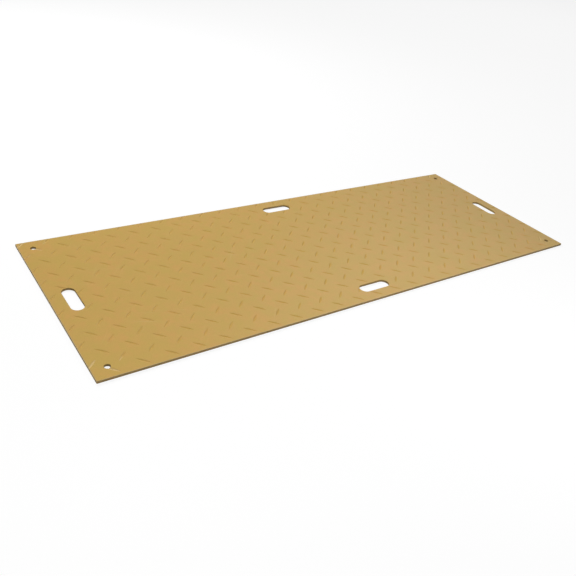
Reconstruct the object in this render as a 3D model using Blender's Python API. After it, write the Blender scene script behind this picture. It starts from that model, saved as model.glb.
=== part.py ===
# Ground protection mat: one pressed sheet of tan plastic with a tread of sunk lozenges in its
# upper face, a hand slot in the middle of each side and a bolt hole near each corner.
# X runs along the length, Y across the width, Z up; the underside lies on Z = 0.
import math

import bmesh
import bpy
from mathutils import Matrix, Vector

# The flat sheet.
SHEET_LENGTH = 2.430
SHEET_WIDTH = 0.910
SHEET_THICKNESS = 0.010
CORNER_RADIUS = 0.003
EDGE_BREAK = 0.001

# The lozenges that the tread plate of the press leaves sunk in the upper face. The sheet is sawn
# out of a longer pattern, so the first column and the first row run off the left and far edges.
LOZENGE_LENGTH = 0.060
LOZENGE_WIDTH = 0.011
LOZENGE_DEPTH = 0.0025
PITCH_ALONG = 0.1019
PITCH_ACROSS = 0.1012
FIRST_COLUMN = 0.0155
FIRST_ROW = 0.017

# The hand slots, one in the middle of each side.
SLOT_LENGTH = 0.150
SLOT_WIDTH = 0.050
SLOT_INSET = 0.080

# The bolt holes, one near each corner.
HOLE_DIAMETER = 0.022
HOLE_INSET = 0.055

# How finely the round stretches are divided.
CORNER_STEPS = 3
LOZENGE_STEPS = 4
SLOT_END_STEPS = 14
HOLE_STEPS = 32


def clear_scene():
    """Remove whatever the scene already holds."""
    for item in list(bpy.data.objects):
        bpy.data.objects.remove(item, do_unlink=True)


def tan_plastic():
    """Dull tan plastic, the same right through the sheet."""
    material = bpy.data.materials.new("tan_plastic")
    material.use_nodes = True
    shader = material.node_tree.nodes["Principled BSDF"]
    shader.inputs["Base Color"].default_value = (0.52, 0.34, 0.11, 1.0)
    shader.inputs["Roughness"].default_value = 0.6
    shader.inputs["Metallic"].default_value = 0.0
    return material


def new_object(name, body, material=None):
    """Put the finished bmesh into the scene as a named object."""
    bmesh.ops.recalc_face_normals(body, faces=body.faces)
    mesh = bpy.data.meshes.new(name)
    body.to_mesh(mesh)
    body.free()
    if material:
        mesh.materials.append(material)
    item = bpy.data.objects.new(name, mesh)
    bpy.context.scene.collection.objects.link(item)
    return item


def hide_tool(item):
    """Keep a cutter or a shape that is merged elsewhere out of the finished part."""
    item.hide_render = True
    item.display_type = "WIRE"
    return item


def extrude_outline(body, outline, bottom, top):
    """Raise a closed flat outline into a prism between two heights."""
    corners = [body.verts.new((x, y, bottom)) for x, y in outline]
    floor = body.faces.new(corners)
    raised = bmesh.ops.extrude_face_region(body, geom=[floor])
    lifted = [v for v in raised["geom"] if isinstance(v, bmesh.types.BMVert)]
    bmesh.ops.translate(body, verts=lifted, vec=(0.0, 0.0, top - bottom))
    return lifted


def arc(centre, radius, start, sweep, steps):
    """Points along an arc, both ends included."""
    points = []
    for step in range(steps + 1):
        angle = start + sweep * step / steps
        points.append((centre[0] + radius * math.cos(angle), centre[1] + radius * math.sin(angle)))
    return points


def sheet_outline():
    """The rectangle of the sheet with its corners rounded."""
    reach_x = SHEET_LENGTH / 2 - CORNER_RADIUS
    reach_y = SHEET_WIDTH / 2 - CORNER_RADIUS
    quarter = math.pi / 2
    outline = []
    for turn, (side_x, side_y) in enumerate(((1, 1), (-1, 1), (-1, -1), (1, -1))):
        centre = (side_x * reach_x, side_y * reach_y)
        outline += arc(centre, CORNER_RADIUS, turn * quarter, quarter, CORNER_STEPS)
    return outline


def build_sheet(material):
    """The flat sheet, with the sharp rims of its upper and lower face broken."""
    body = bmesh.new()
    extrude_outline(body, sheet_outline(), 0.0, SHEET_THICKNESS)
    rims = [e for e in body.edges if abs(e.verts[0].co.z - e.verts[1].co.z) < SHEET_THICKNESS / 2]
    bmesh.ops.bevel(body, geom=rims, offset=EDGE_BREAK, segments=1, profile=0.5, affect="EDGES")
    return new_object("ground_mat", body, material)


def lozenge_sections():
    """Half width and depth of the lozenge at stations along it, both following low arcs."""
    half = LOZENGE_LENGTH / 2
    bulge = LOZENGE_WIDTH / 2
    radius = (half ** 2 + bulge ** 2) / (2 * bulge)
    spread = math.asin(half / radius)
    sections = []
    for step in range(1, LOZENGE_STEPS):
        angle = spread * (2 * step / LOZENGE_STEPS - 1)
        along = radius * math.sin(angle)
        side = radius * math.cos(angle) - (radius - bulge)
        depth = LOZENGE_DEPTH * (1 - (along / half) ** 2)
        sections.append((along, side, depth))
    return sections


def add_lozenge(body, place):
    """One lozenge of the press: a pointed oval whose two flanks meet in a keel below the face."""
    half = LOZENGE_LENGTH / 2
    sections = lozenge_sections()
    outline = [(-half, 0.0)]
    outline += [(along, -side) for along, side, depth in sections]
    outline += [(half, 0.0)]
    outline += [(along, side) for along, side, depth in reversed(sections)]
    above = [body.verts.new(place @ Vector((x, y, LOZENGE_DEPTH))) for x, y in outline]
    rim = [body.verts.new(place @ Vector((x, y, 0.0))) for x, y in outline]
    keel = [body.verts.new(place @ Vector((along, 0.0, -depth))) for along, side, depth in sections]
    count = len(outline)
    body.faces.new(above)
    for index in range(count):
        after = (index + 1) % count
        body.faces.new((rim[index], rim[after], above[after], above[index]))
    bottom = [rim[0]] + keel + [rim[LOZENGE_STEPS]]
    for index in range(LOZENGE_STEPS):
        near = (rim[index + 1], rim[index], bottom[index], bottom[index + 1])
        far = (bottom[index], rim[-index], rim[count - index - 1], bottom[index + 1])
        for corners in (near, far):
            body.faces.new(list(dict.fromkeys(corners)))


def build_tread():
    """The lattice: rows and columns half a pitch apart, the lozenges leaning the other way in turn."""
    body = bmesh.new()
    step_x = PITCH_ALONG / 2
    step_y = PITCH_ACROSS / 2
    columns = int((SHEET_LENGTH - FIRST_COLUMN) / step_x) + 1
    rows = int((SHEET_WIDTH - FIRST_ROW) / step_y) + 1
    for column in range(columns):
        for row in range(rows):
            if (column + row) % 2:
                continue
            lean = -math.pi / 4 if column % 2 else math.pi / 4
            x = FIRST_COLUMN + column * step_x - SHEET_LENGTH / 2
            y = SHEET_WIDTH / 2 - FIRST_ROW - row * step_y
            turn = Matrix.Rotation(lean, 4, "Z")
            add_lozenge(body, Matrix.Translation((x, y, SHEET_THICKNESS)) @ turn)
    return hide_tool(new_object("tread_lozenges", body))


def slot_outline(centre, quarter_turns):
    """A hand slot: two straight sides closed by half circles."""
    radius = SLOT_WIDTH / 2
    run = SLOT_LENGTH / 2 - radius
    right = arc((run, 0.0), radius, -math.pi / 2, math.pi, SLOT_END_STEPS)
    left = arc((-run, 0.0), radius, math.pi / 2, math.pi, SLOT_END_STEPS)
    turn = Matrix.Rotation(quarter_turns * math.pi / 2, 2)
    turned = [turn @ Vector(point) for point in right + left]
    return [(point.x + centre[0], point.y + centre[1]) for point in turned]


def build_cutters():
    """Prisms that run past both faces of the sheet: four hand slots and four bolt holes."""
    body = bmesh.new()
    past = SHEET_THICKNESS
    bottom = -past
    top = SHEET_THICKNESS + past
    reach_x = SHEET_LENGTH / 2 - SLOT_INSET
    reach_y = SHEET_WIDTH / 2 - SLOT_INSET
    for side in (-1, 1):
        extrude_outline(body, slot_outline((0.0, side * reach_y), 0), bottom, top)
        extrude_outline(body, slot_outline((side * reach_x, 0.0), 1), bottom, top)
    for side_x in (-1, 1):
        for side_y in (-1, 1):
            x = side_x * (SHEET_LENGTH / 2 - HOLE_INSET)
            y = side_y * (SHEET_WIDTH / 2 - HOLE_INSET)
            ring = arc((x, y), HOLE_DIAMETER / 2, 0.0, 2 * math.pi, HOLE_STEPS)[:-1]
            extrude_outline(body, ring, bottom, top)
    return hide_tool(new_object("slot_and_hole_cutters", body))


def cut_out(item, tool):
    """Cut another shape out of the sheet."""
    step = item.modifiers.new(tool.name, "BOOLEAN")
    step.operation = "DIFFERENCE"
    step.solver = "EXACT"
    step.object = tool


def build_mat():
    """Sheet first, then the tread sunk in it, then the openings through both."""
    sheet = build_sheet(tan_plastic())
    cut_out(sheet, build_tread())
    cut_out(sheet, build_cutters())


clear_scene()
build_mat()
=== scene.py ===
# Looks of the ground protection mat, a tan plastic access sheet with a sunk lozenge tread.
# Metres; X along the mat, Y across it, Z up, with the underside on Z = 0.
import math

import bpy
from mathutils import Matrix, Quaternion, Vector


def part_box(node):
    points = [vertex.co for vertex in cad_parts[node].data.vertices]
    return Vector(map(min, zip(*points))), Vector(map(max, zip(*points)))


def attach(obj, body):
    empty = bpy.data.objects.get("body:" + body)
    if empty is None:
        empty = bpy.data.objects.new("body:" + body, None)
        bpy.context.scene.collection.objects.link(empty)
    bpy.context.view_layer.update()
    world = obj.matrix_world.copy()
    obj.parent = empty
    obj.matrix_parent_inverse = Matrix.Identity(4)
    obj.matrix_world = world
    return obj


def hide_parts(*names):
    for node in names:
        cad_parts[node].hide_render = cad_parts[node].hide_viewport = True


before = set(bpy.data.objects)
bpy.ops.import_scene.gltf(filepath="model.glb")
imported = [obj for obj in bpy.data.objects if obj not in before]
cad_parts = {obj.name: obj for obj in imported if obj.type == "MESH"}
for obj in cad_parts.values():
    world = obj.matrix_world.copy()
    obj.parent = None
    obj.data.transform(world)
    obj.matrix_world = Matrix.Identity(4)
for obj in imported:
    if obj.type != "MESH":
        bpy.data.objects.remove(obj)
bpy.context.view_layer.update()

scene = bpy.context.scene


# The mat. One sheet of recycled polyethylene, pressed hot against a steel tread plate, which
# leaves its lozenges sunk in the upper face. The sheet is then sawn to size, so that the
# pattern runs off two of its edges, and four hand slots and four bolt holes are milled out.
mat_low, mat_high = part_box("ground_mat")
mat_sizes = {
    "Length": mat_high[0] - mat_low[0],
    "Width": mat_high[1] - mat_low[1],
    "Thickness": mat_high[2] - mat_low[2],
    "Corner radius": 0.003,
    "Rim radius": 0.001,
    "Lozenge length": 0.060,
    "Lozenge width": 0.011,
    "Lozenge depth": 0.0025,
    "Pitch along": 0.1019,
    "Pitch across": 0.1012,
    "First column": 0.0155,
    "First row": 0.017,
    "Slot length": 0.150,
    "Slot width": 0.050,
    "Slot inset": 0.080,
    "Hole diameter": 0.022,
    "Hole inset": 0.055,
}
die_overrun = 0.002
cutter_overrun = 0.008
weld_distance = 0.000001
corner_steps = 5
slot_end_steps = 14
hole_steps = 9
rim_steps = 3
lozenge_steps_along = 12
lozenge_steps_across = 6


def place(tree, kind, sockets=None, **settings):
    """Add a node, set its options, and fill or link its input sockets; gives its first output."""
    made = tree.nodes.new(kind)
    for option, value in settings.items():
        setattr(made, option, value)
    for socket, value in (sockets or {}).items():
        for part in value if isinstance(value, list) else [value]:
            if isinstance(part, bpy.types.NodeSocket):
                tree.links.new(part, made.inputs[socket])
            else:
                made.inputs[socket].default_value = part
    return made.outputs[0]


def work_out(tree, operation, *values):
    """One step of arithmetic."""
    return place(tree, "ShaderNodeMath", dict(enumerate(values)), operation=operation)


def point_at(tree, x=0.0, y=0.0, z=0.0):
    """A position from three lengths."""
    return place(tree, "ShaderNodeCombineXYZ", {0: x, 1: y, 2: z})


def split_position(tree):
    """The three lengths of the position."""
    position = place(tree, "GeometryNodeInputPosition")
    split = tree.nodes.new("ShaderNodeSeparateXYZ")
    tree.links.new(position, split.inputs[0])
    return split.outputs


def shape_tree(name, inputs):
    """An empty shape tree with named inputs; gives the tree, its inputs and its result socket."""
    tree = bpy.data.node_groups.new(name, "GeometryNodeTree")
    for label, kind in inputs.items():
        tree.interface.new_socket(label, in_out="INPUT", socket_type="NodeSocket" + kind)
    tree.interface.new_socket("Geometry", in_out="OUTPUT", socket_type="NodeSocketGeometry")
    start = tree.nodes.new("NodeGroupInput")
    end = tree.nodes.new("NodeGroupOutput")
    return tree, start.outputs, end.inputs[0]


def use_tree(tree, inner, **sockets):
    """Place one tree inside another; underscores in the names stand for spaces."""
    held = {label.replace("_", " "): value for label, value in sockets.items()}
    return place(tree, "GeometryNodeGroup", held, node_tree=inner)


def rounded_outline_tree():
    """A closed rectangle with four quarter rounds: sheet edge, hand slot or bolt hole."""
    inputs = {"Length": "Float", "Width": "Float", "Radius": "Float", "Steps": "Int"}
    tree, given, result = shape_tree("rounded outline", inputs)
    per_corner = work_out(tree, "ADD", given["Steps"], 1.0)
    around = work_out(tree, "MULTIPLY", per_corner, 4.0)
    ring = place(tree, "GeometryNodeMeshCircle", {"Vertices": around})
    index = place(tree, "GeometryNodeInputIndex")
    middle_of_step = work_out(tree, "ADD", index, 0.5)
    corner = work_out(tree, "FLOOR", work_out(tree, "DIVIDE", middle_of_step, per_corner))
    step = work_out(tree, "SUBTRACT", index, work_out(tree, "MULTIPLY", corner, per_corner))
    turned = work_out(tree, "ADD", corner, work_out(tree, "DIVIDE", step, given["Steps"]))
    angle = work_out(tree, "MULTIPLY", turned, math.pi / 2)
    middle = work_out(tree, "MULTIPLY", work_out(tree, "ADD", corner, 0.5), math.pi / 2)
    place_xy = []
    for wave, size in (("COSINE", given["Length"]), ("SINE", given["Width"])):
        side = work_out(tree, "SIGN", work_out(tree, wave, middle))
        reach = work_out(tree, "SUBTRACT", work_out(tree, "MULTIPLY", size, 0.5), given["Radius"])
        centre = work_out(tree, "MULTIPLY", side, reach)
        swing = work_out(tree, wave, angle)
        place_xy.append(work_out(tree, "MULTIPLY_ADD", swing, given["Radius"], centre))
    moved = {"Geometry": ring, "Position": point_at(tree, *place_xy)}
    shaped = place(tree, "GeometryNodeSetPosition", moved)
    welded = place(tree, "GeometryNodeMergeByDistance", {"Geometry": shaped, "Distance": weld_distance})
    tree.links.new(place(tree, "GeometryNodeMeshToCurve", {"Mesh": welded}), result)
    return tree


def rimmed_prism_tree():
    """A solid on an outline whose upper and lower rims are rounded over, outwards or inwards."""
    inputs = {
        "Outline": "Geometry",
        "Thickness": "Float",
        "Rim radius": "Float",
        "Outward": "Float",
        "Overrun": "Float",
    }
    tree, given, result = shape_tree("rimmed prism", inputs)
    rim = given["Rim radius"]
    last = 2 * rim_steps + 3
    index = place(tree, "GeometryNodeInputIndex")
    line = place(tree, "GeometryNodeMeshLine", {"Count": last + 1})
    before_caps = work_out(tree, "SUBTRACT", index, 1.0)
    stage = place(tree, "ShaderNodeClamp", {0: before_caps, 1: 0.0, 2: last - 2.0})
    upper = work_out(tree, "GREATER_THAN", stage, rim_steps + 0.5)
    turned = work_out(tree, "SUBTRACT", stage, upper)
    angle = work_out(tree, "MULTIPLY_ADD", turned, math.pi / 2 / rim_steps, -math.pi / 2)
    inset = work_out(tree, "SUBTRACT", work_out(tree, "COSINE", angle), 1.0)
    out = work_out(tree, "MULTIPLY", work_out(tree, "MULTIPLY", given["Outward"], rim), inset)
    between = work_out(tree, "SUBTRACT", given["Thickness"], work_out(tree, "MULTIPLY", rim, 2.0))
    centre = work_out(tree, "MULTIPLY_ADD", upper, between, rim)
    before = work_out(tree, "LESS_THAN", index, 0.5)
    after = work_out(tree, "GREATER_THAN", index, last - 0.5)
    past = work_out(tree, "MULTIPLY", given["Overrun"], work_out(tree, "SUBTRACT", after, before))
    rise = work_out(tree, "MULTIPLY_ADD", rim, work_out(tree, "SINE", angle), centre)
    height = work_out(tree, "ADD", rise, past)
    drop = work_out(tree, "MULTIPLY", height, -1.0)
    moved = {"Geometry": line, "Position": point_at(tree, out, drop)}
    shaped = place(tree, "GeometryNodeSetPosition", moved)
    profile = place(tree, "GeometryNodeMeshToCurve", {"Mesh": shaped})
    wall = place(tree, "GeometryNodeCurveToMesh", {"Curve": given["Outline"], "Profile Curve": profile})
    open_edge = work_out(tree, "LESS_THAN", place(tree, "GeometryNodeInputMeshEdgeNeighbors"), 1.5)
    level = split_position(tree)[2]
    high = work_out(tree, "GREATER_THAN", level, work_out(tree, "MULTIPLY", given["Thickness"], 0.5))
    low = work_out(tree, "SUBTRACT", 1.0, high)
    top = work_out(tree, "ADD", given["Thickness"], given["Overrun"])
    bottom = work_out(tree, "MULTIPLY", given["Overrun"], -1.0)
    caps = []
    for side, at in ((high, top), (low, bottom)):
        chosen = work_out(tree, "MULTIPLY", open_edge, side)
        loop = place(tree, "GeometryNodeMeshToCurve", {"Mesh": wall, "Selection": chosen})
        flat = place(tree, "GeometryNodeFillCurve", {"Curve": loop}, mode="NGONS")
        moved = {"Geometry": flat, "Translation": point_at(tree, z=at)}
        caps.append(place(tree, "GeometryNodeTransform", moved))
    caps[1] = place(tree, "GeometryNodeFlipFaces", {"Mesh": caps[1]})
    skin = place(tree, "GeometryNodeFlipFaces", {"Mesh": wall})
    joined = place(tree, "GeometryNodeJoinGeometry", {0: [skin, *caps]})
    welded = place(tree, "GeometryNodeMergeByDistance", {"Geometry": joined, "Distance": weld_distance})
    tree.links.new(welded, result)
    return tree


def lozenge_tree():
    """One lozenge of the tread plate: a pointed oval between two arcs, with a rounded back."""
    inputs = {"Lozenge length": "Float", "Lozenge width": "Float", "Lozenge depth": "Float"}
    tree, given, result = shape_tree("lozenge", inputs)
    counts = {
        "Vertices X": lozenge_steps_along + 1,
        "Vertices Y": lozenge_steps_across + 1,
        "Vertices Z": 2,
    }
    block = place(tree, "GeometryNodeMeshCube", {"Size": (2, 2, 2), **counts})
    along, across, up = split_position(tree)
    half = work_out(tree, "MULTIPLY", given["Lozenge length"], 0.5)
    bulge = work_out(tree, "MULTIPLY", given["Lozenge width"], 0.5)
    x = work_out(tree, "MULTIPLY", along, half)
    chord = work_out(tree, "MULTIPLY_ADD", half, half, work_out(tree, "MULTIPLY", bulge, bulge))
    radius = work_out(tree, "DIVIDE", chord, given["Lozenge width"])
    square = work_out(tree, "MULTIPLY", radius, radius)
    left = work_out(tree, "SQRT", work_out(tree, "SUBTRACT", square, work_out(tree, "MULTIPLY", x, x)))
    half_width = work_out(tree, "SUBTRACT", left, work_out(tree, "SUBTRACT", radius, bulge))
    y = work_out(tree, "MULTIPLY", across, work_out(tree, "MAXIMUM", half_width, 0.0))
    out = work_out(tree, "ABSOLUTE", along)
    spine = work_out(tree, "SUBTRACT", 1.0, work_out(tree, "POWER", out, 2.0))
    wave = work_out(tree, "COSINE", work_out(tree, "MULTIPLY", across, math.pi / 2))
    bump = work_out(tree, "MULTIPLY", work_out(tree, "POWER", wave, 1.5), spine)
    deep = work_out(tree, "MULTIPLY", bump, given["Lozenge depth"])
    sunk = work_out(tree, "MULTIPLY", deep, -1.0)
    is_top = work_out(tree, "GREATER_THAN", up, 0.0)
    z = work_out(tree, "MULTIPLY_ADD", is_top, work_out(tree, "SUBTRACT", die_overrun, sunk), sunk)
    moved = {"Geometry": block, "Position": point_at(tree, x, y, z)}
    shaped = place(tree, "GeometryNodeSetPosition", moved)
    welded = place(tree, "GeometryNodeMergeByDistance", {"Geometry": shaped, "Distance": weld_distance})
    tree.links.new(welded, result)
    return tree


def add_tread(tree, given, lozenge):
    """Set lozenges on every second point of a grid at half the pitch, leaning each way in turn."""
    counts, spans, starts = [], [], []
    sides = (("Length", "Pitch along", "First column"), ("Width", "Pitch across", "First row"))
    for size, pitch, first in sides:
        step = work_out(tree, "MULTIPLY", given[pitch], 0.5)
        room = work_out(tree, "SUBTRACT", given[size], given[first])
        gaps = work_out(tree, "FLOOR", work_out(tree, "DIVIDE", room, step))
        span = work_out(tree, "MULTIPLY", gaps, step)
        spare = work_out(tree, "MULTIPLY", work_out(tree, "SUBTRACT", room, span), 0.5)
        counts.append(work_out(tree, "ADD", gaps, 1.0))
        spans.append(span)
        starts.append(work_out(tree, "SUBTRACT", work_out(tree, "MULTIPLY", given[first], 0.5), spare))
    columns, rows = counts
    sizes = {"Size X": spans[0], "Size Y": spans[1], "Vertices X": columns, "Vertices Y": rows}
    grid = place(tree, "GeometryNodeMeshGrid", sizes)
    from_middle = work_out(tree, "MULTIPLY", starts[1], -1.0)
    offset = point_at(tree, starts[0], from_middle, given["Thickness"])
    points = place(tree, "GeometryNodeTransform", {"Geometry": grid, "Translation": offset})
    index = place(tree, "GeometryNodeInputIndex")
    middle_of_step = work_out(tree, "ADD", index, 0.5)
    column = work_out(tree, "FLOOR", work_out(tree, "DIVIDE", middle_of_step, rows))
    from_near = work_out(tree, "SUBTRACT", index, work_out(tree, "MULTIPLY", column, rows))
    from_far = work_out(tree, "SUBTRACT", work_out(tree, "SUBTRACT", rows, 1.0), from_near)
    parity = work_out(tree, "FLOORED_MODULO", work_out(tree, "ADD", column, from_far), 2.0)
    chosen = work_out(tree, "LESS_THAN", parity, 0.5)
    odd = work_out(tree, "FLOORED_MODULO", column, 2.0)
    lean = work_out(tree, "MULTIPLY_ADD", odd, -math.pi / 2, math.pi / 4)
    turn = place(tree, "FunctionNodeEulerToRotation", {0: point_at(tree, z=lean)})
    shape = {f"Lozenge_{part}": given[f"Lozenge {part}"] for part in ("length", "width", "depth")}
    copies = {"Points": points, "Selection": chosen, "Rotation": turn}
    copies["Instance"] = use_tree(tree, lozenge, **shape)
    pattern = place(tree, "GeometryNodeInstanceOnPoints", copies)
    return place(tree, "GeometryNodeRealizeInstances", {0: pattern})


def add_cutters(tree, given, outline, prism):
    """The milling paths: a slot in the middle of each side and a round hole near each corner."""
    half = {side: work_out(tree, "MULTIPLY", given[side], 0.5) for side in ("Length", "Width")}
    rounds = {}
    for name in ("Slot width", "Hole diameter"):
        rounds[name] = work_out(tree, "MULTIPLY", given[name], 0.5)
    slot = use_tree(tree, outline, Length=given["Slot length"], Width=given["Slot width"],
                    Radius=rounds["Slot width"], Steps=slot_end_steps)
    hole = use_tree(tree, outline, Length=given["Hole diameter"], Width=given["Hole diameter"],
                    Radius=rounds["Hole diameter"], Steps=hole_steps)
    shapes = []
    for path in (slot, hole):
        shapes.append(use_tree(tree, prism, Outline=path, Thickness=given["Thickness"],
                               Rim_radius=given["Rim radius"], Outward=-1.0, Overrun=cutter_overrun))
    slot_x = work_out(tree, "SUBTRACT", half["Length"], given["Slot inset"])
    slot_y = work_out(tree, "SUBTRACT", half["Width"], given["Slot inset"])
    hole_x = work_out(tree, "SUBTRACT", half["Length"], given["Hole inset"])
    hole_y = work_out(tree, "SUBTRACT", half["Width"], given["Hole inset"])
    spots = []
    for side in (-1.0, 1.0):
        spots.append((shapes[0], 0.0, work_out(tree, "MULTIPLY", slot_y, side), 0.0))
        spots.append((shapes[0], work_out(tree, "MULTIPLY", slot_x, side), 0.0, math.pi / 2))
        for other in (-1.0, 1.0):
            x = work_out(tree, "MULTIPLY", hole_x, side)
            y = work_out(tree, "MULTIPLY", hole_y, other)
            spots.append((shapes[1], x, y, 0.0))
    placed = []
    for shape, x, y, turn in spots:
        moved = {"Geometry": shape, "Translation": point_at(tree, x, y), "Rotation": (0.0, 0.0, turn)}
        placed.append(place(tree, "GeometryNodeTransform", moved))
    return place(tree, "GeometryNodeJoinGeometry", {0: placed})


def mat_tree():
    """The whole mat: a sheet less the sunk lozenges, the hand slots and the bolt holes."""
    inputs = {name: "Float" for name in mat_sizes}
    tree, given, result = shape_tree("ground mat", {**inputs, "Skin": "Material", "Edge": "Material"})
    outline, prism, lozenge = rounded_outline_tree(), rimmed_prism_tree(), lozenge_tree()
    edge = use_tree(tree, outline, Length=given["Length"], Width=given["Width"],
                    Radius=given["Corner radius"], Steps=corner_steps)
    sheet = use_tree(tree, prism, Outline=edge, Thickness=given["Thickness"],
                     Rim_radius=given["Rim radius"], Outward=1.0, Overrun=0.0)
    cut = {0: sheet, 1: [add_tread(tree, given, lozenge), add_cutters(tree, given, outline, prism)]}
    milled = place(tree, "GeometryNodeMeshBoolean", cut, operation="DIFFERENCE", solver="MANIFOLD")
    normal = tree.nodes.new("ShaderNodeSeparateXYZ")
    tree.links.new(place(tree, "GeometryNodeInputNormal"), normal.inputs[0])
    upright = work_out(tree, "ABSOLUTE", normal.outputs[2])
    smooth = place(tree, "GeometryNodeSetShadeSmooth", {"Geometry": milled})
    flat = work_out(tree, "GREATER_THAN", upright, 0.99999)
    flat_share = place(tree, "GeometryNodeFieldOnDomain", {0: flat}, domain="FACE")
    mixed = work_out(tree, "COMPARE", flat_share, 0.5, 0.4)
    turn = place(tree, "GeometryNodeInputMeshEdgeAngle")
    steep = work_out(tree, "GREATER_THAN", turn, math.radians(40.0))
    crease = work_out(tree, "MAXIMUM", mixed, steep)
    stored = place(
        tree,
        "GeometryNodeStoreNamedAttribute",
        {"Geometry": smooth, "Name": "sharp_edge", "Value": crease},
        data_type="BOOLEAN",
        domain="EDGE",
    )
    skinned = place(tree, "GeometryNodeSetMaterial", {"Geometry": stored, "Material": given["Skin"]})
    wall = work_out(tree, "LESS_THAN", upright, 0.6)
    dressed = {"Geometry": skinned, "Selection": wall, "Material": given["Edge"]}
    tree.links.new(place(tree, "GeometryNodeSetMaterial", dressed), result)
    return tree


def shader_tree(name, inputs, outputs):
    """An empty shader group with named sockets; inputs give each socket's kind and value."""
    tree = bpy.data.node_groups.new(name, "ShaderNodeTree")
    for label, (kind, value) in inputs.items():
        socket = tree.interface.new_socket(label, in_out="INPUT", socket_type="NodeSocket" + kind)
        socket.default_value = value
    for label, kind in outputs.items():
        tree.interface.new_socket(label, in_out="OUTPUT", socket_type="NodeSocket" + kind)
    return tree, tree.nodes.new("NodeGroupInput").outputs, tree.nodes.new("NodeGroupOutput").inputs


def noise(tree, where, scale, detail=2.0, roughness=0.5):
    """Cloudy values between 0 and 1."""
    return place(
        tree,
        "ShaderNodeTexNoise",
        {"Vector": where, "Scale": scale, "Detail": detail, "Roughness": roughness},
        noise_dimensions="3D",
    )


def blend(tree, amount, first, second, mode="MIX"):
    """Mix two colours."""
    made = tree.nodes.new("ShaderNodeMix")
    made.data_type = "RGBA"
    made.blend_type = mode
    for socket, value in ((0, amount), (6, first), (7, second)):
        if isinstance(value, bpy.types.NodeSocket):
            tree.links.new(value, made.inputs[socket])
        else:
            made.inputs[socket].default_value = value
    return made.outputs[2]


def remap(tree, value, low, high, start=0.0, end=1.0):
    """Stretch a value from one range to another, clamped."""
    sockets = {0: value, 1: low, 2: high, 3: start, 4: end}
    return place(tree, "ShaderNodeMapRange", sockets, clamp=True)


def recycled_plastic_group():
    """Plastic from mixed regrind: warm and greenish clouds, fine speckle and a pressed grain."""
    inputs = {
        "Ochre": ("Color", (0.53, 0.331, 0.096, 1.0)),
        "Warm": ("Color", (0.575, 0.325, 0.098, 1.0)),
        "Olive": ("Color", (0.50, 0.345, 0.084, 1.0)),
        "Cloud": ("Float", 0.6),
    }
    tree, given, result = shader_tree("recycled plastic", inputs, {"Colour": "Color", "Grain": "Float"})
    where = tree.nodes.new("ShaderNodeTexCoord").outputs["Object"]
    sheet_wide = remap(tree, noise(tree, where, 3.2, 2.0), 0.38, 0.62)
    broad = remap(tree, noise(tree, where, 9.0, 3.0), 0.38, 0.62)
    small = remap(tree, noise(tree, where, 38.0, 3.0), 0.35, 0.65)
    tone = blend(tree, work_out(tree, "MULTIPLY", sheet_wide, 0.5), given["Ochre"], given["Olive"])
    warm = blend(tree, work_out(tree, "MULTIPLY", broad, given["Cloud"]), tone, given["Warm"])
    clouds = blend(tree, work_out(tree, "MULTIPLY", small, given["Cloud"]), warm, given["Olive"])
    speckle = remap(tree, noise(tree, where, 420.0, 2.0), 0.3, 0.7, 0.94, 1.06)
    tree.links.new(blend(tree, 1.0, clouds, speckle, "MULTIPLY"), result["Colour"])
    fine = noise(tree, where, 900.0, 3.0, 0.6)
    coarse = noise(tree, where, 160.0, 2.0)
    tree.links.new(work_out(tree, "MULTIPLY_ADD", coarse, 1.5, fine), result["Grain"])
    return tree


def scuff_group():
    """Long thin scuffs from dragging one sheet over another, in two directions."""
    inputs = {"Density": ("Float", 0.5), "Length": ("Float", 4.0), "Fineness": ("Float", 260.0)}
    tree, given, result = shader_tree("scuffs", inputs, {"Mask": "Float"})
    where = tree.nodes.new("ShaderNodeTexCoord").outputs["Object"]
    stretch = point_at(tree, given["Length"], given["Fineness"], given["Fineness"])
    passes = []
    for turn in (0.35, -0.95):
        spun = {"Vector": where, "Angle": turn}
        turned = place(tree, "ShaderNodeVectorRotate", spun, rotation_type="Z_AXIS")
        pulled = place(tree, "ShaderNodeVectorMath", {0: turned, 1: stretch}, operation="MULTIPLY")
        line = noise(tree, pulled, 1.0, 1.0)
        patch = remap(tree, noise(tree, where, 5.0, 2.0), 0.45, 0.65)
        low = work_out(tree, "MULTIPLY_ADD", given["Density"], -0.1, 0.74)
        thin = remap(tree, line, low, work_out(tree, "ADD", low, 0.06))
        passes.append(work_out(tree, "MULTIPLY", thin, patch))
    tree.links.new(work_out(tree, "MAXIMUM", *passes), result["Mask"])
    return tree


plastic = recycled_plastic_group()
scuffs = scuff_group()
rim_sheen_band = 0.003
corner_reach = 0.10
corner_fade = 0.02
hollow_dust = (0.49, 0.31, 0.10, 1.0)
scuff_pale = (0.66, 0.52, 0.28, 1.0)
corner_hollow_pale = (0.68, 0.52, 0.27, 1.0)
rim_sheen_grey = (0.45, 0.38, 0.23, 1.0)
burr_pale = (0.50, 0.38, 0.18, 1.0)


def use_group(tree, group, **sockets):
    """Place a shader group in a material, its sockets filled by name; gives its outputs."""
    made = tree.nodes.new("ShaderNodeGroup")
    made.node_tree = group
    for label, value in sockets.items():
        made.inputs[label].default_value = value
    return made.outputs


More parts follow.
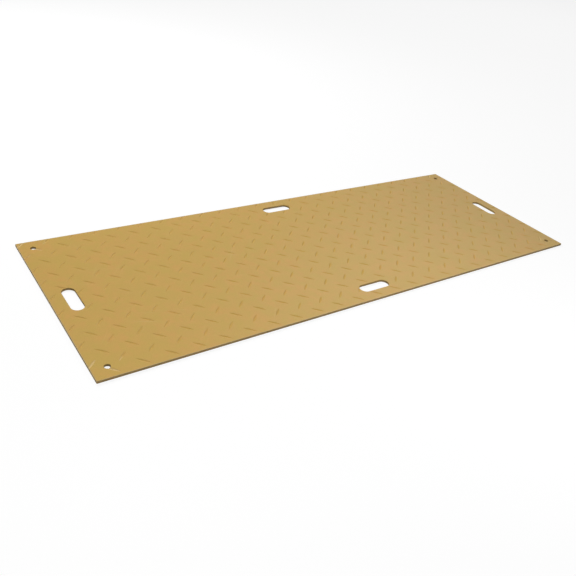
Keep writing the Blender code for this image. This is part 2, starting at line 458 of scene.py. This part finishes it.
def pressed_skin():
    """The pressed faces: half dull and grained, with dull dusty hollows that are paler near the corners,
    and rims painted grey as a painted sheen along with some dulling."""
    material = bpy.data.materials.new("pressed skin")
    material.use_nodes = True
    tree = material.node_tree
    shader = tree.nodes["Principled BSDF"]
    stock = use_group(tree, plastic)
    marks = use_group(tree, scuffs)
    split = tree.nodes.new("ShaderNodeSeparateXYZ")
    tree.links.new(tree.nodes.new("ShaderNodeTexCoord").outputs["Object"], split.inputs[0])
    top = mat_sizes["Thickness"]
    below = remap(tree, split.outputs[2], top - 0.0012, top - 0.0002, 1.0, 0.0)
    above = work_out(tree, "GREATER_THAN", split.outputs[2], top / 2)
    hollow = work_out(tree, "MULTIPLY", below, above)
    near_corner, near_rim_sheen = [], []
    for axis, size in ((0, "Length"), (1, "Width")):
        reach = work_out(tree, "ABSOLUTE", split.outputs[axis])
        edge = mat_sizes[size] / 2
        near_corner.append(remap(tree, reach, edge - corner_reach - corner_fade, edge - corner_reach))
        near_rim_sheen.append(remap(tree, reach, edge - rim_sheen_band, edge - rim_sheen_band / 2))
    corner = work_out(tree, "MULTIPLY", *near_corner)
    rim = work_out(tree, "MAXIMUM", *near_rim_sheen)
    dusty = blend(tree, work_out(tree, "MULTIPLY", hollow, 0.3), stock["Colour"], hollow_dust)
    scuffed = blend(tree, work_out(tree, "MULTIPLY", marks["Mask"], 0.22), dusty, scuff_pale)
    # The hollows are made paler towards the corners.
    pale = work_out(tree, "MULTIPLY", work_out(tree, "MULTIPLY", hollow, corner), 0.5)
    corner_paled = blend(tree, pale, scuffed, corner_hollow_pale)
    # The rims are painted greyer and bluer: a painted sheen of the rounded rims, with some dulling of the
    # plastic.
    colour = blend(tree, work_out(tree, "MULTIPLY", rim, 0.6), corner_paled, rim_sheen_grey)
    tree.links.new(colour, shader.inputs["Base Color"])
    rough = remap(tree, stock["Grain"], 0.8, 1.8, 0.36, 0.46)
    worn = work_out(tree, "MULTIPLY_ADD", marks["Mask"], 0.12, rough)
    tree.links.new(work_out(tree, "MULTIPLY_ADD", hollow, 0.22, worn), shader.inputs["Roughness"])
    tree.links.new(remap(tree, hollow, 0.0, 1.0, 0.5, 0.12), shader.inputs["Specular IOR Level"])
    bump = place(tree, "ShaderNodeBump", {"Strength": 0.2, "Distance": 0.0003, "Height": stock["Grain"]})
    tree.links.new(bump, shader.inputs["Normal"])
    return material


def shaded_milled_edge():
    """The sawn and milled walls: rough, given a darker brown as painted shade, with lines left by the tool
    along the cut.
    """
    material = bpy.data.materials.new("milled edge painted shade")
    material.use_nodes = True
    tree = material.node_tree
    shader = tree.nodes["Principled BSDF"]
    # The darker tan given here for the walls is painted shade, not a different plastic.
    stock = use_group(
        tree,
        plastic,
        Ochre=(0.30, 0.20, 0.08, 1.0),
        Warm=(0.32, 0.19, 0.08, 1.0),
        Olive=(0.27, 0.20, 0.075, 1.0),
    )
    marks = use_group(tree, scuffs, Density=0.8, Length=30.0)
    where = tree.nodes.new("ShaderNodeTexCoord").outputs["Object"]
    along = place(tree, "ShaderNodeVectorMath", {0: where, 1: (14.0, 14.0, 1600.0)}, operation="MULTIPLY")
    across = place(tree, "ShaderNodeVectorMath", {0: where, 1: (320.0, 320.0, 20.0)}, operation="MULTIPLY")
    chatter = work_out(tree, "MULTIPLY", noise(tree, across, 1.0), 0.6)
    lines = work_out(tree, "ADD", noise(tree, along, 1.0, 2.0), chatter)
    shade = remap(tree, lines, 0.55, 1.05, 0.82, 1.15)
    cut = blend(tree, 1.0, stock["Colour"], shade, "MULTIPLY")
    burr = work_out(tree, "MULTIPLY", marks["Mask"], 0.3)
    tree.links.new(blend(tree, burr, cut, burr_pale), shader.inputs["Base Color"])
    tree.links.new(remap(tree, lines, 0.55, 1.05, 0.85, 0.65), shader.inputs["Roughness"])
    shader.inputs["Specular IOR Level"].default_value = 0.2
    bump = place(tree, "ShaderNodeBump", {"Strength": 0.35, "Distance": 0.0002, "Height": lines})
    tree.links.new(bump, shader.inputs["Normal"])
    return material


blank = bpy.data.meshes.new("blank")
maker = bpy.data.objects.new("mat maker", blank)
scene.collection.objects.link(maker)
press = maker.modifiers.new("press and mill", "NODES")
press.node_group = mat_tree()
mat_inputs = {**mat_sizes, "Skin": pressed_skin(), "Edge": shaded_milled_edge()}
for item in press.node_group.interface.items_tree:
    if item.in_out == "INPUT":
        press[item.identifier] = mat_inputs[item.name]
evaluated = maker.evaluated_get(bpy.context.evaluated_depsgraph_get())
mat_mesh = bpy.data.meshes.new_from_object(evaluated)
bpy.data.objects.remove(maker)
mat = bpy.data.objects.new("tan_mat", mat_mesh)
scene.collection.objects.link(mat)
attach(mat, "root")
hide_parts("ground_mat")


# The floor. A plain white studio floor that takes the mat's soft contact shadow.
floor_size = 60.0
floor_gap = 0.0005
glow_share = 0.86
floor_mesh = bpy.data.meshes.new("studio_floor")
reach = floor_size / 2
floor_corners = [
    (-reach, -reach, 0.0),
    (reach, -reach, 0.0),
    (reach, reach, 0.0),
    (-reach, reach, 0.0),
]
floor_mesh.from_pydata(floor_corners, [], [(0, 1, 2, 3)])
floor = bpy.data.objects.new("studio_floor", floor_mesh)
floor.location.z = -floor_gap
scene.collection.objects.link(floor)


def white_floor():
    """White to the camera and in reflections, with only a little of it taken up by shading."""
    material = bpy.data.materials.new("white floor")
    material.use_nodes = True
    tree = material.node_tree
    tree.nodes.remove(tree.nodes["Principled BSDF"])
    matt = place(tree, "ShaderNodeBsdfDiffuse", {"Color": (0.95, 0.95, 0.95, 1.0)})
    glow = place(tree, "ShaderNodeEmission", {"Color": (1.0, 1.0, 1.0, 1.0), "Strength": 1.0})
    ray = tree.nodes.new("ShaderNodeLightPath")
    seen = work_out(tree, "MAXIMUM", ray.outputs["Is Camera Ray"], ray.outputs["Is Glossy Ray"])
    seen = work_out(tree, "MAXIMUM", seen, ray.outputs["Is Transmission Ray"])
    share = work_out(tree, "MULTIPLY", seen, glow_share)
    mix = place(tree, "ShaderNodeMixShader", {0: share, 1: matt, 2: glow})
    tree.links.new(mix, tree.nodes["Material Output"].inputs["Surface"])
    return material


floor_mesh.materials.append(white_floor())


# The light. A lamp rakes the tread from behind the mat, and two weak ones fill it from the front
# and the left. Two wide soft panels behind the right end are mirrored there as a pale sheen, and
# an even white room lightens the shadows.
lamp_size = 0.5
panel_size = 8.3


def hang_lamp(name, x, y, z, size, energy, mirrored):
    """A round lamp aimed at the middle of the mat; only a mirrored one shows in the plastic."""
    lamp_data = bpy.data.lights.new(name, "AREA")
    lamp_data.shape = "DISK"
    lamp_data.size = size
    lamp_data.energy = energy
    lamp = bpy.data.objects.new(name, lamp_data)
    lamp.location = (x, y, z)
    lamp.rotation_mode = "QUATERNION"
    lamp.rotation_quaternion = (-Vector((x, y, z))).to_track_quat("-Z", "Y")
    lamp.visible_glossy = mirrored
    scene.collection.objects.link(lamp)


hang_lamp("back_lamp", -0.9, 3.8, 3.6, lamp_size, energy=226.0, mirrored=False)
hang_lamp("front_lamp", 0.4, -1.6, 1.2, lamp_size, energy=10.0, mirrored=False)
hang_lamp("left_lamp", -1.7, -1.2, 1.4, lamp_size, energy=9.0, mirrored=False)
hang_lamp("right_panel", 7.96, 4.60, 7.71, panel_size, energy=215.0, mirrored=True)
hang_lamp("back_panel", 4.60, 7.96, 7.71, panel_size, energy=34.0, mirrored=True)

room_light = 0.18
room_sheen = 0.05
world = bpy.data.worlds.new("white room")
scene.world = world
world.use_nodes = True
world_tree = world.node_tree
room = world_tree.nodes["Background"]
room.inputs["Color"].default_value = (1.0, 1.0, 1.0, 1.0)
world_ray = world_tree.nodes.new("ShaderNodeLightPath")
is_mirrored = world_ray.outputs["Is Glossy Ray"]
mirrored_room = remap(world_tree, is_mirrored, 0.0, 1.0, room_light, room_sheen)
seen_straight = [world_ray.outputs[kind] for kind in ("Is Camera Ray", "Is Transmission Ray")]
open_view = work_out(world_tree, "MAXIMUM", *seen_straight)
strength = work_out(world_tree, "MAXIMUM", mirrored_room, open_view)
world_tree.links.new(strength, room.inputs["Strength"])


# The camera. It stands off the near left corner, as in the photograph.
camera_place = Vector((-1.7093, -1.9109, 1.3735))
aim = Vector((-0.3448, -0.2356, 0.0))
tilt = math.radians(9.08)
lens = 39.57
camera_data = bpy.data.cameras.new("camera")
camera_data.lens = lens
camera_data.sensor_width = 36.0
camera = bpy.data.objects.new("camera", camera_data)
camera.location = camera_place
camera.rotation_mode = "QUATERNION"
facing = (aim - camera_place).to_track_quat("-Z", "Y")
camera.rotation_quaternion = facing @ Quaternion((0.0, 0.0, 1.0), tilt)
scene.collection.objects.link(camera)
scene.camera = camera
scene.view_settings.view_transform = "Standard"
